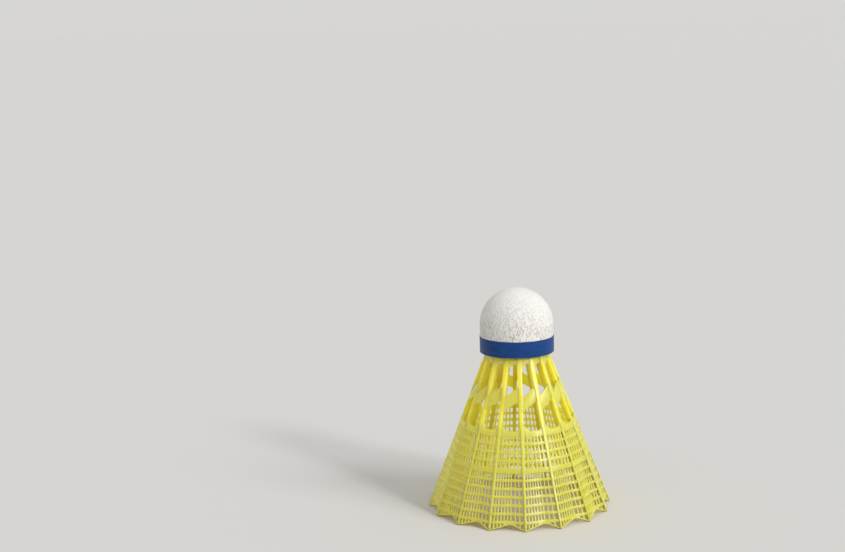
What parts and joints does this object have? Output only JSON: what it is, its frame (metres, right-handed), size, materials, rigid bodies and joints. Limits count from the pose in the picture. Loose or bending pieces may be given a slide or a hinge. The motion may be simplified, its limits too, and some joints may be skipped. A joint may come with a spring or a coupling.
{
  "type": "badminton shuttlecock",
  "caption": "Nylon-skirted shuttlecock: domed cork head in a wrinkled off-white cover, blue band, and a flared perforated yellow skirt with slanted struts and a pointed rim.",
  "frame": {"origin": "centre of the circle of rib tips, on the surface the shuttlecock stands on", "axes": "+Z along the axis of symmetry, from the open rim towards the nose; a rib stands at -Y"},
  "size_m": [0.066, 0.066, 0.0794],
  "materials": {
    "nylon": "fluorescent yellow translucent nylon, satin",
    "cover": "off-white wrinkled synthetic leather",
    "band": "blue satin tape",
    "natural_cork": "natural cork",
    "composite_cork": "pressed cork granules",
    "adhesive": "clear amber glue"
  },
  "bodies": {
    "root": {"cork_nose": "natural_cork", "cork_body": "composite_cork", "head_cover": "cover", "speed_band": "band", "hub_adhesive": "adhesive", "skirt_hub": "nylon", "vane_01": "nylon", "vane_02": "nylon", "vane_03": "nylon", "vane_04": "nylon", "vane_05": "nylon", "vane_06": "nylon", "vane_07": "nylon", "vane_08": "nylon", "vane_09": "nylon", "vane_10": "nylon", "vane_11": "nylon", "vane_12": "nylon", "vane_13": "nylon", "vane_14": "nylon", "vane_15": "nylon", "vane_16": "nylon"}
  },
  "joints": []
}
